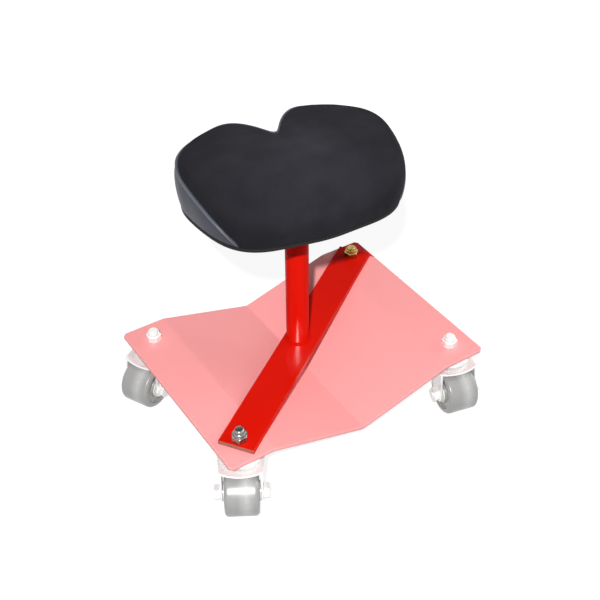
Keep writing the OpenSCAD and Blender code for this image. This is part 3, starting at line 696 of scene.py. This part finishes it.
black_paint = enamel("satin black paint", (0.012, 0.012, 0.013), (0.02, 0.02, 0.021),
                     (0.16, 0.16, 0.16), 420, {"Specular IOR Level": 0.4})
dress(["seat_plate"], black_paint)
dress(["seat_plate_screws", "seat_tee_nuts", "spindle_keeper_screw"], zinc)

# ---- Cushion form ------------------------------------------------------------------------
# The seat turns 7.4 degrees clockwise on the post, and its middle stands 10.6 mm behind it.
# Foam, cover and pan share one outline with two lobes and a soft notch at the back.

half_wide, reach_front, reach_back = 144, 112, 118
edge_z, foot_z = 397.3, 334.1
set_back, seat_turn = 10.6, np.radians(-7.4)


def outline(heading):
    """Radius of the cushion by heading in degrees: a superellipse 288 mm wide that reaches 112
    mm in front and 118 behind, times six small waves that draw out the lobes, times a notch
    that dies away as a bell curve about the back."""
    c, s = np.cos(np.radians(heading)), np.sin(np.radians(heading))
    power, reach = np.where(s > 0, 2.25, 2.39), np.where(s > 0, reach_back, reach_front)
    full = ((np.abs(c) / half_wide) ** power + (np.abs(s) / reach) ** power) ** (-1 / power)
    off_back = np.abs(heading - 90)
    waves = sum(share * np.cos(np.radians(count * off_back)) for count, share in (
        (3, 0.008), (4, 0.006), (5, 0.024), (6, 0.013), (7, -0.006), (8, 0.005)))
    return full * (1 + waves) * (1 - 0.535 * np.exp(-(off_back / 18.8) ** 2.43))


def cushion_at(heading, way, inset=0.0, crown=4):
    """A point on the cushion. Way 0 to 1 crosses the top, which rises by crown in its middle and
    by 1.8 mm at the sides and falls 12 mm to the front, 1 to 2 rounds the edge as a quarter of an
    ellipse, and 2 to 3 goes down the side, which draws in by 5 mm. Inset is the depth below the
    cover's face."""
    c, s = np.cos(np.radians(heading)), np.sin(np.radians(heading))
    front = np.maximum(0, -s) ** 2
    round_in, round_down = 12.2 + 6.6 * front, 27.1 - 0.5 * front
    rim = outline(heading) - inset
    turn = np.pi / 2 * np.clip(way - 1, 0, 1)
    down = np.maximum(0, way - 2)
    radius = np.where(way <= 1, (rim - round_in) * np.minimum(1, way),
                      rim - round_in * (1 - np.sin(turn)) - 5 * down ** 2)
    x, y = radius * c, radius * s
    level = (edge_z + crown * (1 - np.minimum(1, way) ** 2) + 1.8 * (x / half_wide) ** 2
             - 12 * (np.maximum(0, -y) / reach_front) ** 2 - inset)
    belt = level - round_down
    z = np.where(way <= 2, level - round_down * (1 - np.cos(turn)),
                 belt + (foot_z - belt) * down)
    return np.stack(np.broadcast_arrays(x, y, z), -1) * mm


def on_seat(points):
    """Points drawn about the cushion's middle, moved behind the post, turned and set over it."""
    return swung(points + [0, set_back * mm, 0], seat_turn) + [post_x, post_y, 0]


def seam_way(heading):
    """Where the seam runs: highest beside the notch, slowly lower along the sides, and diving to
    the lower edge beside the front."""
    off_back = np.abs(heading - 90)
    share = np.clip((off_back - 74) / 54, 0, 1)
    return 1.45 - 0.33 * np.exp(-(off_back / 36) ** 4) + 1.55 * (0.45 * share + 0.55 * share ** 6)


def spaced(*stops):
    """Places from 0 through the stops: each gives a place, and how many even steps lead to it."""
    places = [0]
    for stop, steps in stops:
        places += list(np.linspace(places[-1], stop, steps + 1)[1:])
    return np.array(places)


round_headings = np.linspace(-1, 1, 289)[:-1]
round_headings = 90 + 180 * np.sign(round_headings) * np.abs(round_headings) ** 1.22
ways = spaced((1, 26), (2, 14), (3, 12))


def pushed_out(form, seam_line):
    """The foam's push on the cover, by cloth simulation. The form is remeshed evenly, held along
    its hem and, less firmly, within 5 mm of the seam. Air pressure stands for the foam, with no
    gravity. The push comes back to the form as a bell-weighted mean over 4 mm, and is capped
    softly at 6 mm."""
    rows, columns = form.shape[:2]
    index = np.arange((rows - 1) * columns).reshape(rows - 1, columns) + 1
    ring = np.hstack([index, index[:, :1]])
    quads = np.stack([ring[:-1, :-1], ring[1:, :-1], ring[1:, 1:], ring[:-1, 1:]], -1)
    fan = np.stack([np.zeros(columns, int), ring[0, :-1], ring[0, 1:]], -1).tolist()
    mesh = bpy.data.meshes.new("cover_form")
    mesh.from_pydata(np.vstack([form[0, :1], form[1:].reshape(-1, 3)]).tolist(), [],
                     quads.reshape(-1, 4).tolist() + fan + [index[-1, ::-1].tolist()])
    body = in_scene("cover_form", mesh)
    even = body.modifiers.new("even", "REMESH")
    even.mode, even.voxel_size = "VOXEL", 5 * mm
    even_mesh = bpy.data.meshes.new_from_object(
        body.evaluated_get(bpy.context.evaluated_depsgraph_get()))
    body.modifiers.clear()
    body.data = even_mesh
    rest, place = np.empty((2, len(even_mesh.vertices) * 3))
    even_mesh.vertices.foreach_get("co", rest)
    rest = rest.reshape(-1, 3)
    off_seam = np.min([np.linalg.norm(rest - point, axis=1) for point in seam_line[::2]], 0) / mm
    hem = np.clip(1 - (rest[:, 2] / mm - 336) / 6, 0, 1)
    firm = np.round(np.maximum(hem, 0.35 * np.exp(-(off_seam / 5) ** 2)), 1)
    held = body.vertex_groups.new(name="held")
    for level in np.unique(firm):
        held.add(np.flatnonzero(firm == level).tolist(), float(level), "REPLACE")
    settings = body.modifiers.new("cover", "CLOTH").settings
    settings.use_pressure = True
    settings.uniform_pressure_force = 2.5
    settings.vertex_group_mass = "held"
    settings.bending_stiffness = 0.5
    settings.effector_weights.gravity = 0
    for frame_number in range(1, 21):
        bpy.context.scene.frame_set(frame_number)
    moved = body.evaluated_get(bpy.context.evaluated_depsgraph_get()).to_mesh()
    moved.vertices.foreach_get("co", place)
    push = place.reshape(-1, 3) - rest
    bpy.context.scene.frame_set(1)
    bpy.data.objects.remove(body)
    far = np.linalg.norm(push, axis=1, keepdims=True) / mm
    push *= 6 * np.tanh(far / 6) / np.maximum(far, 1e-6)
    result = form.copy()
    for row in range(rows):
        apart = np.linalg.norm(form[row][:, None] - rest[None], axis=-1) / mm
        weight = np.exp(-(apart / 4) ** 2 / 2) + 1e-12
        result[row] += weight @ push / weight.sum(1, keepdims=True)
    return result


def skin_gap(way):
    """The cover's face stands 0.3 mm inside the cushion's, and meets it at the lower edge."""
    return 0.3 * np.clip(3 - way, 0, 1)


heading_grid, way_grid = np.meshgrid(round_headings, ways)
seam = seam_way(round_headings)
cover_form = cushion_at(heading_grid, way_grid, inset=skin_gap(way_grid), crown=2.5)
cover_form = pushed_out(cover_form, cushion_at(round_headings, seam, inset=skin_gap(seam)))


def facing_out(points):
    """Unit normals of a closed grid: the cross product of its steps round and down."""
    along_rows = np.roll(points, -1, 1) - np.roll(points, 1, 1)
    down_rows = np.gradient(points, axis=0)
    normal = np.cross(down_rows, along_rows)
    return normal / np.maximum(np.linalg.norm(normal, axis=-1, keepdims=True), 1e-12)


cover_normal = facing_out(cover_form)
cover_normal[0] = [0, 0, 1]
cover_normal *= np.sign((cover_normal * (cover_form - cover_form.mean((0, 1)))).sum())


def on_cover(heading_index, way, proud):
    """Points of the puffed cover at any way down given headings, and proud of its face. Both
    the place and the normal run straight between the form's rows."""
    row = np.clip(np.interp(way, ways, np.arange(len(ways))), 0, len(ways) - 1.001)
    low = row.astype(int)
    share = (row - low)[..., None]
    column = np.broadcast_to(heading_index, low.shape)
    place = cover_form[low, column] * (1 - share) + cover_form[low + 1, column] * share
    normal = cover_normal[low, column] * (1 - share) + cover_normal[low + 1, column] * share
    return place + normal * np.asarray(proud)[..., None]


# ---- Seat pan ----------------------------------------------------------------------------
# Moulded board in black plastic. A plug stands inside the cover, and the bare rim below it,
# 4.5 mm high, shows as a dark line under the cushion.


def moulded_plastic():
    """Black plastic with a fine pebbled grain from the mould, greyer in soft clouds."""
    material, tree, place = new_finish("black moulded plastic", {"Specular IOR Level": 0.1})
    pebbles = step(tree, "TexVoronoi", {"Vector": place, "Scale": 900},
                   feature="SMOOTH_F1").outputs["Distance"]
    cloud = noise(place, 40, 3)
    return surface(material, between(cloud, (0.012, 0.012, 0.013), (0.022, 0.022, 0.024)),
                   spread(cloud, 0.45, 0.6), pebbles, 0.35, 0.06)


pan_plastic = moulded_plastic()
pan_rows = [(0, 0, 329.3), (0.6, 0, 329.3), (1, -1.2, 329.3), (1, -0.5, 329.45), (1, -0.1, 329.9),
            (1, 0, 330.6), (1, 0, 332.6), (1, -0.15, 333.3), (1, -0.6, 333.7), (1, -1.6, 333.8),
            (1, -2.6, 333.8), (1, -2.7, 340.8), (1, -3.2, 341.3), (0.6, -2, 341.8),
            (0, 0, 341.8)]
share, grow, level = np.array(pan_rows).T[..., None]
radius = share * (outline(round_headings) - 5 + grow)
pan_points = polar(radius, np.radians(round_headings), level) * mm
seat_pan = skin("pan_board", on_seat(pan_points), pan_plastic, crease=40)
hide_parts("seat_pan")
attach(seat_pan, "seat")

# ---- Foam --------------------------------------------------------------------------------
# One block of open-cell foam, cut and ground to the cushion's shape. It fills the cover from
# the pan up, and none of it shows.


def open_foam():
    """Yellowed foam with open pores: small cells whose rims stand up and catch the light."""
    material, tree, place = new_finish("open-cell foam", {
        "Specular IOR Level": 0.1, "Roughness": 0.95})
    cells = step(tree, "TexVoronoi", {"Vector": place, "Scale": 700}).outputs["Distance"]
    return surface(material, between(cells, (0.45, 0.36, 0.18), (0.78, 0.68, 0.42)), None, cells,
                   0.6, 0.4)


every = np.arange(len(round_headings))
foam_z = 342.3 * mm
belt_z = on_cover(every, np.full(len(every), 2.0), np.zeros(len(every)))[:, 2] / mm
foam_foot = 3 - (343.2 - foot_z) / (belt_z - foot_z)
last_way = foam_foot.max()
foam_ways = spaced((1, 20), (last_way, 25))[:, None]
foam_ways = np.where(foam_ways > 1, 1 + (foam_ways - 1) * (foam_foot - 1) / (last_way - 1),
                     foam_ways)
foam_points = on_cover(every, foam_ways, -2.4 * mm + 0 * foam_ways)
foam_points[..., 2] = np.maximum(foam_points[..., 2], foam_z)
foam_points = np.concatenate([foam_points, np.broadcast_to([0, 0, foam_z], (1, len(every), 3))])
seat_foam = skin("foam_block", on_seat(foam_points), open_foam(), crease=50)
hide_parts("seat_foam")
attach(seat_foam, "seat")

# ---- Top panel ---------------------------------------------------------------------------
# Matte charcoal cloth, stretched over the foam. It runs down over the front edge with no seam,
# and elsewhere it turns under along the seam, where the side panels' rolled edge stands proud.


def charcoal_cloth():
    """Plain weave on the cloth's own lengths: warp and weft bands of 0.9 mm cross as ridges, a
    slubby unevenness lightens some threads, and the tone drifts a little over a hand's width.
    The tone is painted lighter towards the middle of the seat, which is painted light, and the
    cloth beside the seam is painted near black, which is painted shade."""
    material, tree, place = new_finish("charcoal cloth", {
        "Specular IOR Level": 0.05, "Sheen Weight": 0.02, "Sheen Roughness": 0.5})
    cloth = step(tree, "UVMap", {}, uv_map="surface").outputs["UV"]
    warp, weft = (step(tree, "TexWave", {"Vector": cloth, "Scale": 350, "Distortion": 0.6,
                                         "Detail": 1, "Detail Scale": 40},
                       bands_direction=way).outputs["Fac"] for way in "XY")
    slubs = noise(place, 520, 3)
    threads = reckoned("ADD", reckoned("MULTIPLY", warp, weft), slubs)
    tone = reckoned("ADD", spread(threads, 0, 0.55, 0.3, 1.3),
                    spread(noise(place, 22, 3), 0, 0.45))
    # Painted light: the cloth's tone is painted lighter towards the middle of the seat.
    off_middle = step(tree, "VectorMath", {0: place, 1: (0, 0, 0.4)},
                      operation="DISTANCE").outputs["Value"]
    painted_middle_light = mixed(spread(off_middle, 1, 0, 0.02, 0.14),
                 between(tone, (0.0088, 0.0086, 0.011), (0.0215, 0.021, 0.026)),
                 between(tone, (0.019, 0.0185, 0.0235), (0.0425, 0.0415, 0.051)))
    # Painted shade: where the grid marks it, beside the seam, the cloth is painted near black.
    return surface(material, mixed(wear_and_painted_light_on(tree), painted_middle_light, (0.004, 0.004, 0.005, 1)),
                   spread(slubs, 0.82, 0.95), threads, 0.5, 0.12)


def run_along(points, axis):
    """How far each point lies along its line from the first one, in metres."""
    first = np.take(points, [0], axis)
    return np.linalg.norm(np.diff(points, axis=axis, prepend=first), axis=-1).cumsum(axis)


def turned_under(outer, inner, axis):
    """A grid whose outer face runs on into the inner one, taken back the other way."""
    return np.concatenate([outer, np.flip(inner, axis)], axis)


top_ways = spaced((0.62, 26), (0.93, 21), (1, 12))[:, None] * seam
top_rows = on_cover(every, top_ways, 0 * top_ways)
run = run_along(top_rows, 0)
to_seam = (run[-1:] - run) / mm
sewn = np.where(seam > 2.95, 0, 1)
dip = sewn * -1.5 * np.exp(-(to_seam / 2.6) ** 2)
hem = np.clip((seam - 2.8) / 0.2, 0, 1) * np.exp(-(to_seam / 14) ** 2)
arc = np.linalg.norm(np.roll(top_rows[-1], -1, 0) - top_rows[-1], axis=-1).cumsum() / mm
pulled = 0.35 * np.sin(arc * 2 * np.pi / 21) * hem
outer = on_cover(every, top_ways,
                 (dip + pulled - 0.6 * hem * np.exp(-(to_seam / 1.2) ** 2)) * mm)
top_points = on_seat(turned_under(outer, on_cover(every, top_ways, (dip - 2) * mm), 0))
lengths = np.stack([outer[..., 0], outer[..., 1] + outer[..., 2]], -1)
maps = turned_under(lengths, lengths, 0)
# Painted shade: the mark for the near-black band in the dip beside the sewn seam.
seam_dip_shade = sewn * 0.9 * np.exp(-(to_seam / 2.2) ** 2)
top_panel = skin("cloth_top", top_points, charcoal_cloth(), maps=maps, crease=60,
                 wear_and_painted_light=turned_under(seam_dip_shade, 0 * seam_dip_shade, 0))
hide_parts("seat_top_panel")
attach(top_panel, "seat")

# ---- Side panels -------------------------------------------------------------------------
# Smooth blue-grey vinyl, one panel from the notch round to the front on each side. The upper
# edge is rolled over a cord of its own stuff along the seam, and the lower one is drawn under.


def smooth_vinyl():
    """Vinyl with a fine grain: small cells with soft creases between them, a satin sheen from
    the shader, a tone that drifts a little along the panel, and a paler painted highlight along
    the rolled edge."""
    material, tree, place = new_finish("blue-grey vinyl", {"Specular IOR Level": 0.2})
    grain = step(tree, "TexVoronoi", {"Vector": place, "Scale": 850},
                 feature="SMOOTH_F1").outputs["Distance"]
    drift = noise(place, 30, 4)
    tone = between(drift, (0.026, 0.0305, 0.0445), (0.039, 0.0455, 0.065))
    # Painted highlight: where the grid marks it, along the top of the rolled edge, the vinyl is
    # painted paler.
    return surface(material, mixed(wear_and_painted_light_on(tree), tone, (0.17, 0.175, 0.195, 1)),
                   spread(drift, 0.36, 0.48), grain, 0.3, 0.06)


vinyl = smooth_vinyl()
share = spaced((0.25, 11), (1, 19))
for side, name in ((-1, "left"), (1, "right")):
    turn_away = -side * (round_headings - 90)
    chosen = np.flatnonzero((turn_away > 0.25) & (turn_away < 127.4))
    column = chosen[np.argsort(turn_away[chosen])][:, None]
    start = seam_way(round_headings[column]) + 0.01
    panel_ways = start + (3 - start) * share
    run = run_along(on_cover(column, panel_ways, 0 * panel_ways), 1) / mm
    room = np.clip(run[:, -1:] / 8, 0, 1)
    roll = 1.5 * np.exp(-((run - 2.2) / 1.9) ** 2) - 1.2 * np.exp(-(run / 0.7) ** 2)
    tuck = 0.9 * np.exp(-((run[:, -1:] - run) / 1.1) ** 2)
    outer = on_cover(column, panel_ways, room * (roll - tuck) * mm)
    inner = on_cover(column, panel_ways, -2 * mm + 0 * panel_ways)
    # Painted highlight: the mark for the paler band along the top of the rolled edge.
    rub_and_painted_highlight = 0.8 * room * np.exp(-((run - 2.2) / 1.5) ** 2)
    side_panel = skin("vinyl_side_" + name, on_seat(turned_under(outer, inner, 1)), vinyl,
                      wear_and_painted_light=turned_under(rub_and_painted_highlight, 0 * rub_and_painted_highlight, 1), crease=60)
    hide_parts("seat_side_panel_" + name)
    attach(side_panel, "seat")

# ---- Floor, light and camera -------------------------------------------------------------
# A plain white floor under a weak white sky. One lamp, a little left of the camera and above it,
# throws the seat's shadow on the post and the back of the plate, and a broad one fills from the
# right.

floor_mesh = bpy.data.meshes.new("floor")
floor_mesh.from_pydata([(-6, -6, 0), (6, -6, 0), (6, 6, 0), (-6, 6, 0)], [], [(0, 1, 2, 3)])
floor = in_scene("floor", floor_mesh)


def rays(tree, *kinds):
    """1 for a ray of any of the named kinds, and 0 for others."""
    seen = step(tree, "LightPath", {}).outputs
    first, *others = (seen[f"Is {kind} Ray"] for kind in kinds)
    for other in others:
        first = reckoned("MAXIMUM", first, other)
    return first


floor_paint, tree, place = new_finish("white floor", {
    "Base Color": (0.27, 0.27, 0.27, 1), "Roughness": 0.8, "Specular IOR Level": 0.0})
away = step(tree, "VectorMath", {0: place}, operation="LENGTH").outputs["Value"]
lit = step(tree, "Emission", {"Color": (1, 1, 1, 1),
                              "Strength": spread(away, 0.86, 1, 0.5, 1.3)})
dark = step(tree, "Emission", {"Color": (0, 0, 0, 1), "Strength": 0})
extra = step(tree, "MixShader", {0: rays(tree, "Camera", "Glossy"), 1: dark.outputs[0],
                                 2: lit.outputs[0]})
both = step(tree, "AddShader", {0: tree.nodes["Principled BSDF"].outputs[0],
                                1: extra.outputs[0]})
tree.links.new(both.outputs[0], tree.nodes["Material Output"].inputs["Surface"])
floor_mesh.materials.append(floor_paint)

world = bpy.data.worlds.new("white sky")
bpy.context.scene.world = world
world.use_nodes = True
tree = world.node_tree
sky = tree.nodes["Background"]
sky.inputs["Color"].default_value = (1, 1, 1, 1)
sky.inputs["Strength"].default_value = 0.14
white = step(tree, "Background", {"Color": (1, 1, 1, 1), "Strength": 1.0})
both = step(tree, "MixShader", {0: rays(tree, "Camera", "Glossy", "Transmission"),
                                1: sky.outputs[0], 2: white.outputs[0]})
tree.links.new(both.outputs[0], tree.nodes["World Output"].inputs["Surface"])


def aimed(thing, place, forward, right):
    """Sets a lamp or camera in place, looking along forward, with right to its right."""
    forward, right = forward / np.linalg.norm(forward), right / np.linalg.norm(right)
    matrix = np.eye(4)
    matrix[:3] = np.stack([right, np.cross(right, forward), -forward, place], 1)
    thing.matrix_world = matrix.T.tolist()


for name, heading, rise, away, size, power in (("key", -36, 44.4, 2.4, 0.07, 63),
                                               ("fill", 75, 28, 3.0, 3.0, 35)):
    heading, rise = np.radians(heading), np.radians(rise)
    towards = np.array([np.sin(heading) * np.cos(rise), -np.cos(heading) * np.cos(rise),
                        np.sin(rise)])
    lamp_data = bpy.data.lights.new(name, "AREA")
    lamp_data.shape = "DISK"
    lamp_data.size = size
    lamp_data.energy = power
    aimed(in_scene(name, lamp_data), [post_x, post_y, 0.1] + away * towards, -towards,
          np.cross(-towards, [0, 0, 1]))

camera_data = bpy.data.cameras.new("camera")
camera_data.sensor_width = 36
camera_data.lens = 64.33
camera_data.clip_end = 50
camera = in_scene("camera", camera_data)
forward = np.array([0.4176, 0.6525, -0.6324])
level_right = np.cross(forward, [0, 0, 1])
level_right /= np.linalg.norm(level_right)
tilted = np.cross(level_right, forward / np.linalg.norm(forward))
roll = np.radians(-0.5785)
aimed(camera, np.array([-609.53, -950.87, 1089.60]) * mm, forward,
      level_right * np.cos(roll) + tilted * np.sin(roll))
bpy.context.scene.camera = camera

bpy.context.scene.view_settings.view_transform = "Standard"
